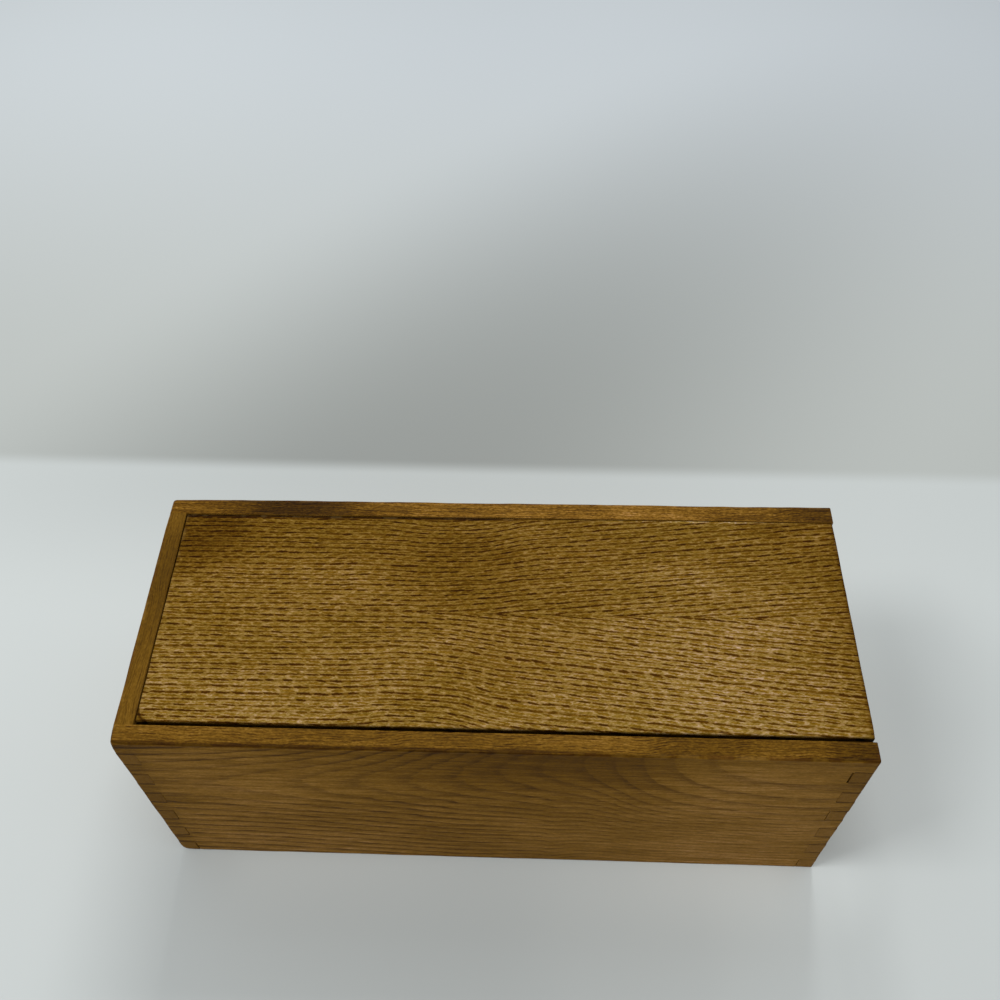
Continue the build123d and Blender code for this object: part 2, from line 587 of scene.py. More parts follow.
def pore_dashes(n, place, row, length, half_width):
    """1 in the middle of a dash, 0 outside. length is a cell's, half_width a share of a row."""
    number = n.math("FLOOR", row)
    slide = n.product(n.chances(number, 0.5)[0], 40.0)
    spot = n.total(n.math("DIVIDE", n.split(place)[0], length), slide)
    long, where, dark = n.chances(number, n.math("FLOOR", spot))
    least, most = DASH_SHARES
    half_length = n.line(long, most - least, least)
    room = n.line(half_length, -2.0, 1.0)
    middle = n.line(n.less(where, 0.5), room, 0.5)
    out_along = n.math("DIVIDE", n.less(n.math("FRACT", spot), middle), half_length)
    slant = n.product(n.less(dark, 0.5), DASH_SLANT)
    lift = n.line(out_along, slant, n.line(where, 0.3, 0.35))
    out_across = n.math("DIVIDE", n.less(n.math("FRACT", row), lift), half_width)
    ragged = n.swing(n.squeeze(place, 0.5), 1.8, 0.95)
    far = n.total(n.math("POWER", out_along, 2.0), n.math("POWER", out_across, 2.0), ragged)
    return n.product(n.ramp(far, 1.1, 0.62), n.ramp(dark, 0.0, 0.7, 0.42, 1.0))


print("a dash takes", DASH_SHARES, "of its cell each way")

# %% [markdown]
# ## The finish
# A finish starts from the tone of the rings. Fibres, clouds of stain and small specks vary it, pores
# darken it, and the edges of the box show bare wood in some places and grime in others. Painted shade
# darkens the gap round the lid, and end grain drinks more stain than the faces do.

# %% Masks for edges and end grain
EDGE_REACH = 2.0


def depths_in(n, low, high):
    """How far the shaded point lies inside a box along each axis, and the least of the three."""
    place = n.here()
    gaps = n.vector("MINIMUM", n.vector("SUBTRACT", place, low), n.vector("SUBTRACT", high, place))
    x, y, z = n.split(gaps)
    return x, y, z, n.math("MINIMUM", n.math("MINIMUM", x, y), z)


def edge_mask(n, low, high):
    """1 on the outside edges of a box, 0 from a little way in: the middle one of three distances."""
    x, y, z, least = depths_in(n, low, high)
    most = n.math("MAXIMUM", n.math("MAXIMUM", x, y), z)
    middle = n.less(n.less(n.total(x, y, z), least), most)
    return n.ramp(middle, EDGE_REACH * MILLIMETRE, 0.0)


def inside_mask(n, low, high, blur):
    """1 inside a box, 0 outside it."""
    return n.ramp(depths_in(n, low, high)[-1], 0.0, blur)


def facing(n, axis):
    """1 where a face points along an axis, either way."""
    parts = n.split(n.add("ShaderNodeNewGeometry", out="Normal"))
    return n.ramp(n.math("ABSOLUTE", parts[AXES.index(axis)]), 0.6, 0.95)


print("edges show wear up to", EDGE_REACH, "mm in")

# %% [markdown]
# Stain has gathered where the fingers of two walls meet, and it differs along each rim. All rows are of
# one height, so one folded distance draws every joint line.

# %% Joint lines and rims
JOINT_LINE = 0.9 * MILLIMETRE


def joint_lines(n, place):
    """Dark lines, broken here and there, where the fingers of two walls meet at a corner."""
    x, y, z = n.split(n.vector("ABSOLUTE", n.here()))
    seam = n.math("PINGPONG", z, 0.5 * finger_height)
    return n.product(
        n.math("GREATER_THAN", x, case_high.x - end_thickness),
        n.math("GREATER_THAN", y, case_high.y - side_thickness),
        n.ramp(seam, JOINT_LINE, 0.0),
        n.less(1.0, facing(n, "z")),
        n.ramp(n.noise(place, 0.15, 2.0), 0.38, 0.6, 0.45, 1.0),
    )


def tone_along(n, axis, points):
    """Stain that differs along an axis, as a curve over the millimetres."""
    spot = n.split(n.here())[AXES.index(axis)]
    return n.curve(n.math("DIVIDE", spot, MILLIMETRE), points)


print("joint lines fade within", JOINT_LINE / MILLIMETRE, "mm")

# %% [markdown]
# The masks and textures meet in one recipe for stained wood. It could be painted by hand on an unwrapped
# board, but then every board would need its own picture. Here functions write the node tree, and the
# boards differ only in their figure, their tones and a few strengths.

# %% Rings, pores and textures
FIBRE_STRETCH = 0.06


def rings_and_pores(n, figure, place, rim, side_grain, looks):
    """How strongly a ring shows at a place, and how strongly a pore does."""
    ring, row, boldness = figure_at(n, figure, place)
    dark = n.curve(n.math("FRACT", ring), looks["profile"])
    broken = n.noise(n.squeeze(place, 0.12), 0.8, 2.0)
    bold = n.ramp(rim, 0.0, 1.0, looks["face_rings"], looks["rim_rings"])
    bold = n.product(bold, boldness, n.ramp(broken, 0.32, 0.66, 0.4, 1.0), side_grain, dark)
    pores = n.ramp(rim, 0.0, 1.0, looks["face_pores"], looks["rim_pores"])
    pores = n.product(pores, side_grain, n.ramp(dark, 0.0, 0.6, looks["late_pores"], 1.0))
    return bold, n.product(pores, pore_dashes(n, place, row, looks["dash"], looks["half_width"]))


def textures(n, place, rim, looks):
    """Noise stretched along the grain, for each of the looks that vary the tone."""
    stretch = n.join(n.mix_value(rim, FIBRE_STRETCH, looks["rim_stretch"]), 1.0, 1.0)
    grains = {"Vector": n.squeeze(place, 0.4), "Rotation": (0.5, 0.6, 0.7)}
    turned = n.add("ShaderNodeVectorRotate", grains, rotation_type="EULER_XYZ")
    return {
        "fibre": n.noise(n.vector("MULTIPLY", place, stretch), 2.2, 3.0, 0.6),
        "streak": n.noise(n.squeeze(place, 0.05), 0.5, 3.0, 0.6),
        "cloud": n.noise(n.squeeze(place, 0.4), 0.035, 3.0),
        "speck": n.noise(turned, 1.7, 2.0, 0.65),
    }


def rubbed_edges(n, place, wood, tones, looks, box):
    """Bare wood in some places along the edges of a box, and grime in others."""
    edge = edge_mask(n, *box)
    rubbed = n.ramp(n.noise(place, 0.12, 4.0, 0.6), 0.4, 0.62, -1.0, 1.0)
    bare = n.product(edge, n.math("MAXIMUM", rubbed, 0.0), looks["bare"])
    grimy = n.product(edge, n.math("MAXIMUM", n.product(rubbed, -1.0), 0.0), looks["grime"])
    return n.mix(grimy, n.mix(bare, wood, tones["bare"]), tones["grime"])


print("fibres are", round(1 / FIBRE_STRETCH), "times as long as wide")

# %% [markdown]
# Stain is thin colour over wood, so it multiplies the tone under it. Rubbed edges, the painted shade in the
# gaps and the stain in the finger joints go on last. The pores are also sunk a little with a Bump node.

# %% Tone and bump of stained wood
RIM_POWERS = (1.0, 1.1, 2.6)
PORE_DEPTH = 0.1
FIBRE_HEIGHT = 0.015


def new_finish(name):
    """A new material, the helper for its nodes and the inputs of its shader."""
    made = bpy.data.materials.new(name)
    made.use_nodes = True
    return made, Nodes(made.node_tree), made.node_tree.nodes["Principled BSDF"].inputs


def stained_wood(name, figure, axes, tones, looks, box, stain=None, rim_stain=None, gap=None):
    """looks holds the ring profile and the sizes and strengths of the pores on faces and on rims."""
    material, n, shader = new_finish(name)
    place = board_place(n, *axes)
    rim = facing(n, "z")
    end_grain = facing(n, axes[0][0])
    drift = n.swing(n.vector("MULTIPLY", place, (1.0, 0.3, 0.3)), 0.02, looks["rim_drift"])
    drift = n.product(drift, rim)
    place = n.vector("ADD", place, n.join(0.0, drift, drift))
    bold, pores = rings_and_pores(n, figure, place, rim, n.less(1.0, end_grain), looks)
    wood = n.mix(bold, tones["summer"], tones["spring"])
    noises = textures(n, place, rim, looks)
    for look, noise in noises.items():
        amount = n.mix_value(rim, looks[look], looks.get("rim_" + look, looks[look]))
        wood = n.tint(wood, n.line(n.ramp(noise, 0.3, 0.7, -1.0, 1.0), amount, 1.0))
    # Rims mixed towards pale bare wood: wear, and painted sheen.
    wood = n.mix(n.product(rim, looks["rim_bare_and_sheen"]), wood, tones["bare"])
    wood = n.tint(wood, n.line(pores, -looks["pore_stain"], 1.0), looks["pore_powers"])
    wood = n.mix(n.product(end_grain, looks["end"]), wood, tones["end"])
    face = n.tint(wood, stain(n, place), looks["stain_powers"]) if stain else wood
    wood = n.mix(rim, face, n.tint(wood, tone_along(n, *rim_stain), RIM_POWERS)) if rim_stain else face
    wood = rubbed_edges(n, place, wood, tones, looks, box)
    # Painted shade in the gaps, and stain in the finger joints, darken the wood here.
    if gap:
        dirt_and_shade = n.math("MAXIMUM", gap(n), joint_lines(n, place))
        wood = n.tint(wood, n.line(dirt_and_shade, -looks["dirt_and_shade"], 1.0))

    height = n.line(pores, -PORE_DEPTH, n.ramp(noises["fibre"], 0.2, 0.8, -FIBRE_HEIGHT, FIBRE_HEIGHT))
    bump = n.add("ShaderNodeBump", {"Strength": 0.7, "Distance": MILLIMETRE, "Height": height})
    n.feed(shader["Base Color"], wood)
    n.feed(shader["Roughness"], n.ramp(noises["fibre"], 0.2, 0.8, 0.55, 0.7))
    n.feed(shader["Normal"], bump)
    shader["Specular IOR Level"].default_value = looks["gloss"]
    print("finish", name, len(material.node_tree.nodes), "nodes")
    return material


print("recipe for stained wood ready")

# %% [markdown]
# ## Stain and painted shade on the lid
# The stain was wiped on by hand and left soft dark blots. Round the lid's front left corner runs a hairline
# with darker wood outside it. An oval with a ragged rim makes the one, a quarter of an oval the other.

# %% Blots and a rounded corner
BLOT_SWIRL = 14.0
LID_CORNER = (-131.0, -43.4, 0.0)
LID_CORNER_REACH = (4.4, 6.0, 1.0)


def blot(n, place, middle, reach, least):
    """A soft dark spot: least in its middle, 1 from its reach on."""
    swirl = n.add("ShaderNodeTexNoise", {"Vector": place, "Scale": 0.08}, "Color")
    ragged = n.vector("ADD", place, n.scale(swirl, BLOT_SWIRL))
    return n.ramp(n.oval(ragged, middle, reach), 0.25, 1.0, least, 1.0)


def rounded_corner(n, place):
    """The lid's front left corner: a hairline round it, and darker wood outside the hairline."""
    out = n.vector("DIVIDE", n.vector("SUBTRACT", place, LID_CORNER), LID_CORNER_REACH)
    out = n.vector("MULTIPLY", n.vector("MINIMUM", out, (0.0, 0.0, 0.0)), (1.0, 1.0, 0.0))
    far = n.vector("LENGTH", out, out="Value")
    hairline = n.ramp(n.math("ABSOLUTE", n.less(far, 1.0)), 0.0, 0.2, 0.2, 1.0)
    in_corner = n.math("LESS_THAN", n.total(*n.split(out)[:2]), -1.05)
    hairline = n.mix_value(in_corner, 1.0, hairline)
    return n.product(hairline, n.ramp(far, 0.98, 1.06, 1.0, 0.8))


print("rounded corner", LID_CORNER_REACH[:2], "mm")

# %% [markdown]
# The stain lies thickest at the back, most of all in the left corner, and part of the darkening towards the
# back is painted shade. That could be painted as a mask, but two curves, one along the board and one
# across, and a few blots say the same in a few numbers. The curve along the board also paints shade on the
# rounded right end. One length of the back edge has painted shade from the gap beside it, another is
# rubbed pale.

# %% Where the lid is dark: stain and painted shade
# Darker towards the back: stain, and partly painted shade.
LID_STAIN_AND_SHADE_ACROSS = ((-55, 1.08), (-28, 0.98), (-4, 0.9), (4, 0.84), (20, 0.8), (34, 0.72), (55, 0.72))
# Along the board the tone ends in painted shade on the lid's rounded right end.
LID_STAIN_AND_SHADE_ALONG = (
    (-145, 0.96), (-112, 0.98), (-20, 0.93), (32, 0.99), (80, 1.13), (112, 1.06), (132, 0.97), (138, 0.88),
    (141.5, 0.75), (142.6, 0.4), (145, 0.3),
)
LID_BLOTS = (
    ((-122.0, 52.0), (36.0, 38.0), 0.55),
    ((126.0, 56.0), (22.0, 11.0), 0.7),
    ((-4.0, 30.0), (46.0, 30.0), 0.86),
    ((10.0, -8.0), (30.0, 22.0), 0.9),
)
LID_BACK_EDGE = 49.4
GLUE_HALF_WIDTH = 0.3
# Where the painted shade along the back edge ends.
BACK_GAP_SHADE_END = 24.0
RUBBED_EDGE_ENDS = (40.0, 128.0)


def lid_stain_and_shade(n, place):
    along, across, _ = n.split(place)
    from_glue = n.math("ABSOLUTE", n.less(across, GLUE_LINE))
    # Painted shade along one length of the back edge, from the gap beside it.
    grimy = n.product(
        n.ramp(across, LID_BACK_EDGE - 1.8, LID_BACK_EDGE - 0.7, 0.0, 0.9),
        n.ramp(along, BACK_GAP_SHADE_END, BACK_GAP_SHADE_END - 28.0),
    )
    first, last = RUBBED_EDGE_ENDS
    rubbed = n.product(
        n.ramp(across, LID_BACK_EDGE - 1.3, LID_BACK_EDGE - 0.5, 0.0, 1.1),
        n.ramp(along, first, first + 35.0),
        n.ramp(along, last, last - 16.0),
    )
    tone = n.product(
        n.curve(across, LID_STAIN_AND_SHADE_ACROSS),
        n.curve(along, LID_STAIN_AND_SHADE_ALONG),
        *[blot(n, place, *spot) for spot in LID_BLOTS],
        n.ramp(from_glue, 0.0, GLUE_HALF_WIDTH, 0.72, 1.0),
        n.less(1.0, grimy),
        n.total(rubbed, 1.0),
        rounded_corner(n, place),
    )
    return n.mix_value(facing(n, "x"), tone, 0.9)


print("lid stain with", len(LID_BLOTS), "blots")

# %% [markdown]
# ## Stain, painted shade and painted light on the walls
# The front is darkest high up in the middle: stain, and painted shade under the rim, while painted light
# from the floor makes it paler low down. At its ends the fingers of the end walls show their end grain,
# which drinks more stain. Each rim has its own light and dark lengths, so it gets a curve.

# %% Where the walls are dark: stain, painted shade and painted light
FRONT_STAIN_ALONG = (
    (-145, 0.62), (-137, 0.74), (-131, 0.92), (-112, 1.0), (-48, 0.9), (0, 0.86), (48, 0.91), (108, 1.06),
    (128, 1.0), (136, 0.92), (145, 0.76),
)
# Darker towards the top: painted shade under the rim, and painted light from the floor low down.
FRONT_SHADE_AND_LIGHT_UP = ((0, 1.03), (40, 1.0), (80, 0.92), (100, 0.86), (107, 0.83), (114, 0.72), (115, 0.72))
FRONT_BLOTS = (((24.0, 116.0), (78.0, 42.0), 0.64), ((-124.0, 68.0), (15.0, 10.0), 0.78))
TALL_FINGERS = ((0, 0.78), (24, 0.74), (43, 0.66), (62, 0.58), (81, 0.7), (115, 0.74))
LOW_FINGERS = ((0, 0.92), (43, 0.87), (62, 0.76), (81, 0.84), (100, 0.66), (115, 0.66))
FRONT_RIM_STAIN = (
    (-145, 0.53), (-88, 0.52), (-66, 0.46), (-22, 0.5), (0, 0.45), (44, 0.58), (66, 0.4), (88, 0.35),
    (110, 0.43), (135, 0.26), (145, 0.26),
)
BACK_RIM_STAIN = (
    (-145, 0.53), (-128, 0.49), (-110, 0.3), (-88, 0.16), (-70, 0.26), (-48, 0.5), (0, 0.66), (66, 0.76),
    (100, 0.52), (121, 0.42), (136, 0.29), (145, 0.24),
)
TALL_RIM_STAIN = ((-58, 0.44), (-10, 0.38), (16, 0.31), (34, 0.32), (50, 0.43), (58, 0.43))
LOW_RIM_STAIN = ((-58, 0.6), (0, 0.55), (58, 0.6))


def front_stain_shade_and_light(n, place):
    along, across, _ = n.split(place)
    blots = [blot(n, place, *spot) for spot in FRONT_BLOTS]
    return n.product(n.curve(along, FRONT_STAIN_ALONG), n.curve(across, FRONT_SHADE_AND_LIGHT_UP), *blots)


def finger_stain(points):
    """Stain on the fingers of an end wall, where they show on the front and the back of the box."""

    def stain(n, place):
        return n.mix_value(facing(n, "y"), 1.0, tone_along(n, "z", points))

    return stain


print("front stain with", len(FRONT_BLOTS), "blots")

# %% [markdown]
# ## Painted shade in the gaps
# Painted shade darkens the gap round the lid and the lips over its grooves, where little light gets in,
# and old stain sits on the outer edge of the front rim. These places follow from the sizes of the boards,
# so their masks come from those sizes.

# %% Masks for painted shade in the gaps
lid_low, lid_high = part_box("sliding_lid")
GROOVE = 4.0 * MILLIMETRE
field_low = Vector((lid_low.x + GROOVE, lid_low.y + GROOVE, -1.0))
field_high = Vector((lid_high.x, lid_high.y - GROOVE, lid_high.z))
FRONT_ARRIS = ((-145, 0.7), (-10, 0.7), (30, 0.5), (65, 0.22), (97, 0.0), (125, 0.36), (145, 0.36))


def lid_gap_shade(n):
    """Painted shade in the rebates of the lid, below its top face and outside its raised field."""
    hair = 0.2 * MILLIMETRE
    below = (lid_low.x - hair, lid_low.y - hair, 0.0), (1.0, lid_high.y + hair, lid_high.z - 4 * hair)
    field = (field_low.x + hair, field_low.y + hair, 0.0), (1.0, field_high.y - hair, 1.0)
    outside = n.less(1.0, inside_mask(n, *field, hair))
    return n.product(outside, inside_mask(n, *below, 3 * hair))


def wall_gap_shade(n):
    """Painted shade on the lips of the walls over the lid's grooves, fainter towards the front on the tall
    end's lip.
    """
    hair = 0.4 * MILLIMETRE
    low = (case_low.x + end_thickness - hair, case_low.y + side_thickness - hair, lid_low.z)
    high = (1.0, case_high.y - side_thickness + hair, case_high.z - 2 * hair)
    x, y, _ = n.split(n.here())
    at_tall_end = n.math("LESS_THAN", x, low[0] + 2 * hair)
    # On the tall end's lip the painted shade is fainter towards the front.
    fainter_shade = n.product(at_tall_end, n.ramp(y, 0.8 * case_high.y, 0.8 * case_low.y, 0.2, 0.88))
    return n.product(inside_mask(n, low, high, hair), n.less(1.0, fainter_shade))


def front_gap_shade_and_rim_stain(n):
    """Painted shade as for every wall, and stain gathered on the outer edge of the front rim."""
    _, y, z = n.split(n.here())
    outer = n.ramp(y, case_low.y + 2.0 * MILLIMETRE, case_low.y + 1.1 * MILLIMETRE)
    high = n.ramp(z, case_high.z - 0.9 * MILLIMETRE, case_high.z - 0.3 * MILLIMETRE)
    return n.math("MAXIMUM", wall_gap_shade(n), n.product(outer, high, tone_along(n, "x", FRONT_ARRIS)))


print("raised field of the lid", [round(side, 4) for side in (field_high - field_low).xy])

# %% [markdown]
# ## Tones and strengths
# The lid has the boldest pores. The walls are smoother on their faces, with soft bands, and show open
# pores on their rims, which are mixed towards bare wood: wear, and painted sheen. Summer wood is the pale
# part of a ring, spring wood the dark and porous part.


# %% Tones and strengths of the lid and the walls
def colour(red, green, blue):
    """A colour as seen on a screen, 0 to 255, turned into the linear values that shaders use."""
    shares = [part / 255 for part in (red, green, blue)]
    return (*[s / 12.92 if s < 0.04045 else ((s + 0.055) / 1.055) ** 2.4 for s in shares], 1.0)


def tones(**seen):
    return {part: colour(*tone) for part, tone in seen.items()}


LID_TONES = tones(
    summer=(142, 114, 61), spring=(97, 65, 0), end=(88, 62, 24), bare=(184, 152, 92), grime=(70, 45, 12)
)
WALL_TONES = tones(
    summer=(143, 103, 39), spring=(88, 57, 10), end=(124, 87, 37), bare=(150, 114, 60), grime=(80, 47, 16)
)
# One strength darkens both the painted shade in the gaps and the stain in the joints.
LID_LOOKS = dict(
    profile=((0, 0.3), (0.12, 0.8), (0.25, 1.0), (0.38, 0.75), (0.55, 0.25), (0.75, 0.0), (1, 0.3)),
    face_rings=1.0, rim_rings=1.0, fibre=0.16, streak=0.1, cloud=0.12, speck=0.34,
    dash=6.4, half_width=0.36, face_pores=1.0, rim_pores=1.0, late_pores=0.6,
    rim_drift=0.0, rim_stretch=0.06, rim_bare_and_sheen=0.0, end=0.8, bare=0.1, grime=0.3, dirt_and_shade=0.78, gloss=0.02,
    pore_stain=0.67, pore_powers=(1.0, 1.4, 4.5), stain_powers=(1.0, 1.25, 2.8),
)
WALL_LOOKS = dict(
    profile=((0, 0.12), (0.06, 1.0), (0.22, 0.6), (0.45, 0.2), (0.8, 0.0), (1, 0.12)),
    face_rings=1.15, rim_rings=0.5, fibre=0.2, streak=0.24, cloud=0.12, speck=0.14,
    rim_fibre=0.36, rim_streak=0.24, rim_speck=0.4,
    dash=8.0, half_width=0.2, face_pores=0.4, rim_pores=0.7, late_pores=0.6,
    rim_drift=2.5, rim_stretch=0.025, rim_bare_and_sheen=0.26, end=0.6, bare=0.25, grime=0.65, dirt_and_shade=0.86, gloss=0.05,
    pore_stain=0.84, pore_powers=(1.0, 1.3, 3.0), stain_powers=(1.0, 1.15, 3.4),
)
BACK_LOOKS = dict(WALL_LOOKS, rim_bare_and_sheen=0.0)
TALL_LOOKS = dict(WALL_LOOKS, rim_fibre=0.26, rim_streak=0.2, rim_pores=0.4, rim_bare_and_sheen=0.5)
print("tones", list(LID_TONES))

# %% [markdown]
# ## Five stained finishes
# Each board comes from its own place in the log. Three axes say how it lies there: along the grain, across
# the face and into the board, each with a direction and a start.

# %% Finishes of the lid and the walls
case_box = (tuple(case_low), tuple(case_high))
lid_box = (tuple(field_low), tuple(field_high))
lid_middle = 0.5 * (lid_low.y + lid_high.y)
lid_axes = (("x", 1, 0.0), ("y", 1, lid_middle), ("z", -1, lid_high.z))
front_axes = (("x", 1, 0.0), ("z", 1, 0.0), ("y", 1, case_low.y))
back_axes = (("x", -1, 0.09), ("z", 1, 0.01), ("y", -1, case_high.y))
tall_axes = (("y", 1, -0.3), ("z", 1, 0.0), ("x", 1, case_low.x))
low_axes = (("y", -1, 0.7), ("z", 1, 0.02), ("x", -1, case_high.x))


def wall_finish(name, figure, axes, rim_stain, stain=None, looks=WALL_LOOKS, gap=wall_gap_shade):
    return stained_wood(name, figure, axes, WALL_TONES, looks, case_box, stain, rim_stain, gap)


lid_finish = stained_wood(
    "Stained lid", LID_FIGURE, lid_axes, LID_TONES, LID_LOOKS, lid_box, lid_stain_and_shade, gap=lid_gap_shade
)
finishes = {
    "front_wall": wall_finish(
        "Stained front", FRONT_FIGURE, front_axes, ("x", FRONT_RIM_STAIN), front_stain_shade_and_light, gap=front_gap_shade_and_rim_stain
    ),
    "back_wall": wall_finish(
        "Stained back", PLAIN_FIGURE, back_axes, ("x", BACK_RIM_STAIN), looks=BACK_LOOKS
    ),
    "tall_end_wall": wall_finish(
        "Stained tall end", PLAIN_FIGURE, tall_axes, ("y", TALL_RIM_STAIN), finger_stain(TALL_FINGERS),
        TALL_LOOKS,
    ),
    "low_end_wall": wall_finish(
        "Stained low end", PLAIN_FIGURE, low_axes, ("y", LOW_RIM_STAIN), finger_stain(LOW_FINGERS)
    ),
}

# %% [markdown]
# ## Walls
# Four boards make the case: two long sides and two ends, locked by fingers at the corners. The front has
# a few fingers that were cut short and stand off. The front left corner at the base is chipped, and both
# left corners of the rim are rubbed round. Each worn copy rides on the case and replaces its board.

# %% Worn walls
SANDED = 0.8 * MILLIMETRE
LOOSE_FINGERS = {
    "front_wall": {(1, 2): 0.85, (1, 6): 0.3, (1, 12): 0.3, (-1, 8): 0.4, (-1, 10): 0.4, (-1, 12): 0.6},
}
CASE_WEAR = (0.7, 1.35)
CASE_CHIPS = (
    (tuple(case_low), 5, 1.4),
    ((case_low.x, case_high.y, case_high.z), 16, 1.2),
    ((case_low.x, case_low.y, case_high.z), 7, 1.6),
)
case_wear = wear_inputs(case_low, case_high, SANDED, CASE_WEAR, *CASE_CHIPS)
for number, (node, finish) in enumerate(finishes.items()):
    skin = board_skin(node, case_low, case_high, SANDED)
    fitted = fit_sockets(skin, LOOSE_FINGERS.get(node, {}))
    wall = worn_board(node, finish, skin, {**case_wear, "Board": 0.37 * number})
    print(node, fitted, "sockets fitted")
    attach(wall, "case")
    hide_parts(node)

# %% [markdown]
# ## Lid
# The lid is one board with a raised field between the rims and thin tongues that run in the grooves. Its
# edges were only eased with sandpaper, so they are sharper than those of the case, and its two corners
# at the open end are rubbed. It goes through the same tree as the walls, with the raised field as the
# box to wear.

# %% Worn lid
LID_SANDED = 0.4 * MILLIMETRE
LID_WEAR = (0.6, 1.7)
LID_CHIPS = (((field_high.x, field_low.y, field_high.z), 3, 1.5), (tuple(field_high), 4, 0.8))
lid_wear = wear_inputs(field_low, field_high, LID_SANDED, LID_WEAR, *LID_CHIPS)
lid_skin = board_skin("sliding_lid", field_low, field_high, LID_SANDED)
lid = worn_board("sliding_lid", lid_finish, lid_skin, {**lid_wear, "Board": 2.6})
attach(lid, "lid")
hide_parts("sliding_lid")

# %% [markdown]
# ## Bottom
# The bottom is a thin panel held in a groove. Nobody sees its edges or handles it, so it needs no wear:
# the board from the frame stays as it is and only gets a pale finish, as of wood left bare inside.

# %% Bottom panel
BOTTOM_TONES = tones(
    summer=(178, 146, 98), spring=(158, 122, 76), end=(140, 104, 62), bare=(184, 152, 106),
    grime=(130, 96, 56),
)
BOTTOM_LOOKS = dict(
    WALL_LOOKS, rim_fibre=0.16, rim_streak=0.15, rim_speck=0.14, rim_drift=0.0, pore_stain=0.58
)
bottom_axes = (("x", 1, -0.5), ("y", 1, 0.05), ("z", -1, 0.0))
bottom_finish = stained_wood("Bare bottom", PLAIN_FIGURE, bottom_axes, BOTTOM_TONES, BOTTOM_LOOKS, case_box)
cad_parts["bottom_panel"].data.materials.clear()
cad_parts["bottom_panel"].data.materials.append(bottom_finish)

# %% [markdown]
# ## Floor
# The box stands on a pale sheet, and behind it a second sheet begins. Painted shade darkens both where the
# two meet, and painted light makes the far sheet paler further off and to the left. Both sheets lie flat,
# so that nothing stands in the way of a view from behind. One plane is enough: its finish goes from one
# tone to the other at the seam.

# %% Two pale sheets
SEAM = 0.1715
SEAM_BLUR = 6 * MILLIMETRE
SHADE_START = 0.06
# Painted shade darkens both sheets at the seam; painted light makes the far sheet paler further off and to
# the left.
NEAR_SHEET = colour(197, 202, 201)
NEAR_SHEET_SHADE_AT_SEAM = colour(191, 196, 195)
FAR_SHEET_SHADE_AT_SEAM = colour(177, 181, 178)
FAR_SHEET_LIT_END = colour(183, 189, 193)
FAR_SHEET_LIT_LEFT = colour(197, 203, 206)
FAR_SHEET_REACH = 0.5

paper, n, shader = new_finish("Pale sheets with painted light and shade")
spot = n.here()
aside, back, _ = n.split(spot)
far_end = n.mix(n.ramp(aside, 0.0, -FAR_SHEET_REACH), FAR_SHEET_LIT_END, FAR_SHEET_LIT_LEFT)
far_sheet = n.mix(n.ramp(back, SEAM, SEAM + FAR_SHEET_REACH), FAR_SHEET_SHADE_AT_SEAM, far_end)
at_seam = n.ramp(back, SHADE_START, SEAM)
near_sheet = n.mix(at_seam, NEAR_SHEET, NEAR_SHEET_SHADE_AT_SEAM)
on_far = n.ramp(back, SEAM - SEAM_BLUR, SEAM + SEAM_BLUR)
sheets = n.mix(on_far, near_sheet, far_sheet)
print("seam", round(SEAM - case_high.y, 4), "m behind the box")

# %% [markdown]
# A soft painted shadow lies behind the box and leans to the right, a fainter one lies beside it, and
# painted light makes the sheet paler in front, most of all along the foot of the box, where it lifts the
# contact shadow. Lamps could give that, but they would change the light on the box too, so the shadows and
# the light are painted in the colour of the sheets.

# %% Painted shadows and light on the sheets
SHADE_MIDDLE = (-0.1, 0.125)
SHADE_REACH = (0.32, 0.56)
SHADE_LEAN = 0.72
SHADE_LEAST = 0.63
SHADE_ON_NEAR = 0.35
SIDE_MIDDLE = (0.226, 0.038)
SIDE_REACH = (0.055, 0.075)
SIDE_LEAST = 0.91
FOOT_REACH = 0.038
# Painted light along the foot of the box, lifting its contact shadow.
FOOT_PAINTED_LIGHT = (
    (-0.18, 0.0), (-0.15, 0.0), (-0.125, 0.04), (-0.09, 0.13), (0.0, 0.12), (0.05, 0.14), (0.09, 0.2),
    (0.12, 0.21), (0.14, 0.14), (0.165, 0.22), (0.185, 0.22), (0.22, 0.05),
)
# Painted light on the sheet in front of the box.
FRONT_PAINTED_LIGHT = (
    (-0.18, 0.0), (-0.03, 0.0), (0.045, 0.09), (0.09, 0.14), (0.13, 0.2), (0.145, 0.13), (0.158, 0.04),
    (0.175, 0.0), (0.22, 0.0),
)

past_middle = n.math("MAXIMUM", n.less(back, SHADE_MIDDLE[1]), 0.0)
leaning = n.join(n.less(aside, n.product(past_middle, SHADE_LEAN)), back, 0.0)
behind = n.ramp(n.oval(leaning, SHADE_MIDDLE, SHADE_REACH), 0.1, 1.0, SHADE_LEAST, 1.0)
share = n.mix_value(on_far, n.product(at_seam, SHADE_ON_NEAR), 1.0)
behind = n.mix_value(share, 1.0, behind)
beside = n.ramp(n.oval(spot, SIDE_MIDDLE, SIDE_REACH), 0.2, 1.0, SIDE_LEAST, 1.0)
beyond = n.vector("SUBTRACT", n.vector("ABSOLUTE", spot), tuple(case_high))
beyond = n.vector("MAXIMUM", beyond, (0.0, 0.0, 0.0))
from_foot = n.vector("LENGTH", beyond, out="Value")
in_front = n.ramp(back, 0.8 * case_low.y, case_low.y)
painted_light = n.product(n.ramp(from_foot, FOOT_REACH, 0.0), n.curve(aside, FOOT_PAINTED_LIGHT))
painted_light = n.total(painted_light, n.curve(aside, FRONT_PAINTED_LIGHT))
shade = n.product(behind, n.line(painted_light, in_front, 1.0), beside)
sheets = n.mix(1.0, sheets, n.join(shade, shade, shade), "MULTIPLY")
n.feed(shader["Base Color"], sheets)
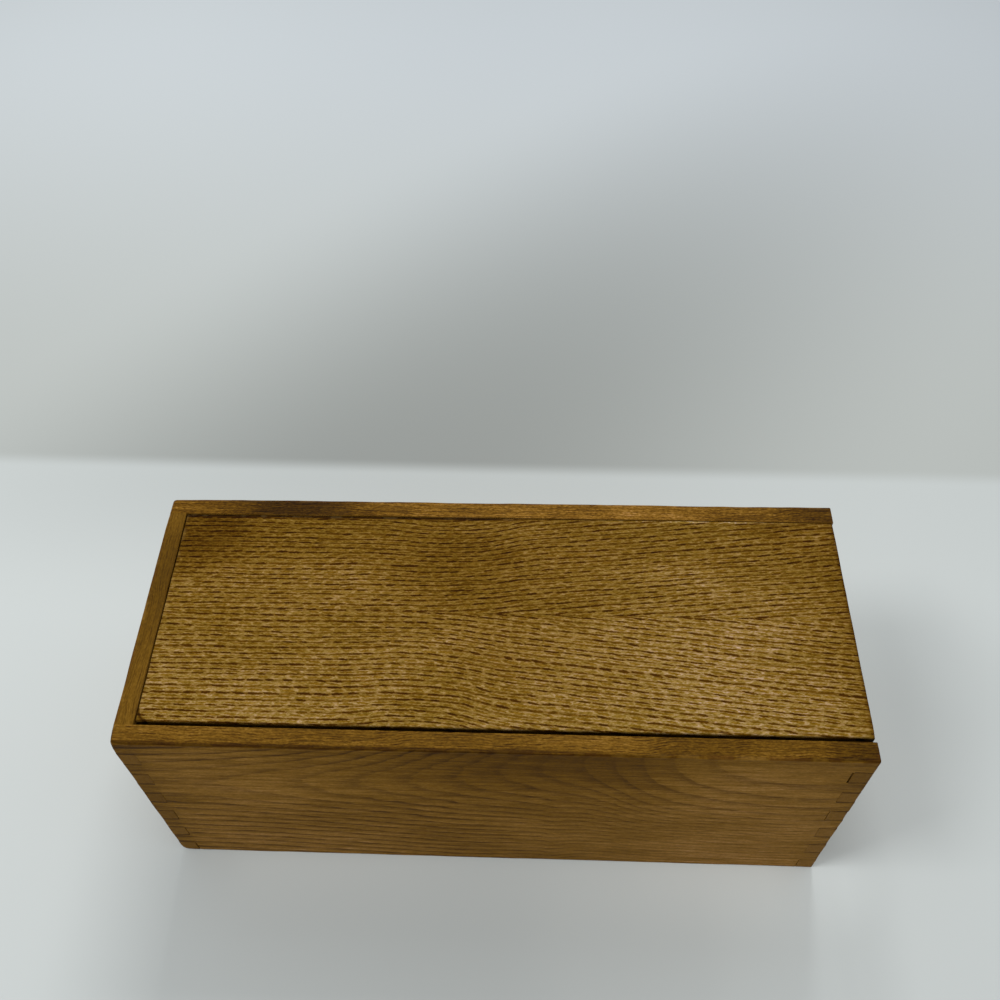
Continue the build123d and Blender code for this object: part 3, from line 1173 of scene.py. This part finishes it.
shader["Roughness"].default_value = 0.9
shader["Specular IOR Level"].default_value = 0.0
print("finish", paper.name, len(paper.node_tree.nodes), "nodes")

# %% [markdown]
# The plane is large, so that it fills the picture from every side. It is turned a little, because the
# seam doesn't run quite square to the box.

# %% A plane for the floor
FLOOR_HALF = 4.0
SEAM_TURN = math.radians(-0.7)
corners = [(-1, -1), (1, -1), (1, 1), (-1, 1)]
floor_mesh = bpy.data.meshes.new("floor")
floor_mesh.from_pydata([(FLOOR_HALF * x, FLOOR_HALF * y, 0.0) for x, y in corners], [], [(0, 1, 2, 3)])
floor_mesh.materials.append(paper)
floor = put("floor", floor_mesh)
floor.rotation_euler.z = SEAM_TURN
print("floor", 2 * FLOOR_HALF, "m wide")

# %% [markdown]
# ## Light
# Plain daylight from a room is soft and comes from more than one side. A sun lamp would give hard
# shadows, so two area lamps are used: one to the left, high up and a little in front, and one behind the
# box, so that the front lies in half shade. A pale world fills the shadows.

# %% Lamps and world
LAMP_AIM = Vector((0, 0, 0.05))


def soft_lamp(name, place, size, power):
    data = bpy.data.lights.new(name, "AREA")
    data.size = size
    data.energy = power
    lamp = put(name, data)
    lamp.location = place
    lamp.rotation_euler = (LAMP_AIM - Vector(place)).to_track_quat("-Z", "Y").to_euler()


soft_lamp("left_lamp", place=(-0.6, -0.2, 1.2), size=0.35, power=5.5)
soft_lamp("back_lamp", place=(0.06, 0.75, 1.1), size=0.5, power=8.0)
world = bpy.data.worlds.new("Pale room")
world.use_nodes = True
room = world.node_tree.nodes["Background"].inputs
room["Color"].default_value = (0.97, 0.99, 1.0, 1.0)
room["Strength"].default_value = 0.53
scene.world = world
print("lamps", [lamp.name for lamp in bpy.data.lights])

# %% [markdown]
# ## Camera
# The box is seen from close by and high up, so its sides draw together towards the floor. A short lens
# near the box gives that, and a long lens further off would not. The picture is a cut-out of a larger
# one, so the camera has a small shift.

# %% Camera
CAMERA_PLACE = (0.01246, -0.22255, 0.47902)
CAMERA_TURN = (36.843, 1.638, 2.245)
camera_data = bpy.data.cameras.new("camera")
camera_data.sensor_width = 36.0
camera_data.lens = 37.98
camera_data.shift_x = 0.0234
camera_data.shift_y = 0.0173
camera_data.clip_start = 0.01
camera = put("camera", camera_data)
camera.location = CAMERA_PLACE
camera.rotation_euler = Euler([math.radians(turn) for turn in CAMERA_TURN])
scene.camera = camera
scene.view_settings.view_transform = "Standard"
print("camera", round(Vector(CAMERA_PLACE).length, 3), "m from the foot of the box")
